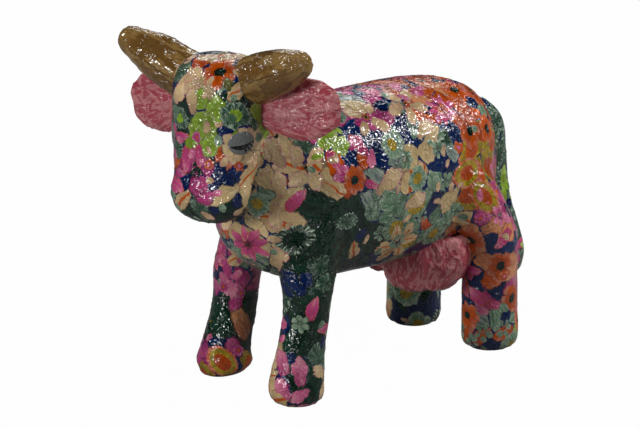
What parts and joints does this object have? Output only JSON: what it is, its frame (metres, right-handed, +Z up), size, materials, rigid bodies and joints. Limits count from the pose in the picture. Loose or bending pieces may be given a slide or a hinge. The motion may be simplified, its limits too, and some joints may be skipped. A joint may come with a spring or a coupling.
{
  "type": "papier-mache cow figure",
  "caption": "Small hollow paper cow figure, standing on round feet, with horns, ears, udder and tail, covered in glossy varnished flower-patterned paper.",
  "frame": {"origin": "on the floor, in the middle of the figure's box in X and Y", "axes": "+Z up, nose towards -Y, the cow's left side towards +X"},
  "size_m": [0.152, 0.2486, 0.2216],
  "materials": {
    "printed_paper": "flower-patterned paper scraps under a thick glossy varnish",
    "pink_paper": "streaked pink paper, varnished",
    "bronze_paper": "streaked brown and bronze paper, varnished, with lengthwise ridges",
    "grey_paper": "grey paper with a drawn lash line, varnished",
    "card": "bare grey-brown card",
    "peg_wood": "bare turned dowel"
  },
  "bodies": {
    "root": {"trunk_shell_left": "printed_paper", "head_shell_left": "printed_paper", "horn_left": "bronze_paper", "horn_peg_left": "peg_wood", "ear_left": "pink_paper", "eyelid_left": "grey_paper", "trunk_shell_right": "printed_paper", "head_shell_right": "printed_paper", "horn_right": "bronze_paper", "horn_peg_right": "peg_wood", "ear_right": "pink_paper", "eyelid_right": "grey_paper", "front_left_leg": "printed_paper", "front_left_sole": "printed_paper", "front_right_leg": "printed_paper", "front_right_sole": "printed_paper", "rear_left_leg": "printed_paper", "rear_left_sole": "printed_paper", "rear_right_leg": "printed_paper", "rear_right_sole": "printed_paper", "back_seam_strip": "card", "belly_seam_strip": "card", "neck_sleeve": "card", "udder": "pink_paper", "tail": "printed_paper"}
  },
  "joints": []
}
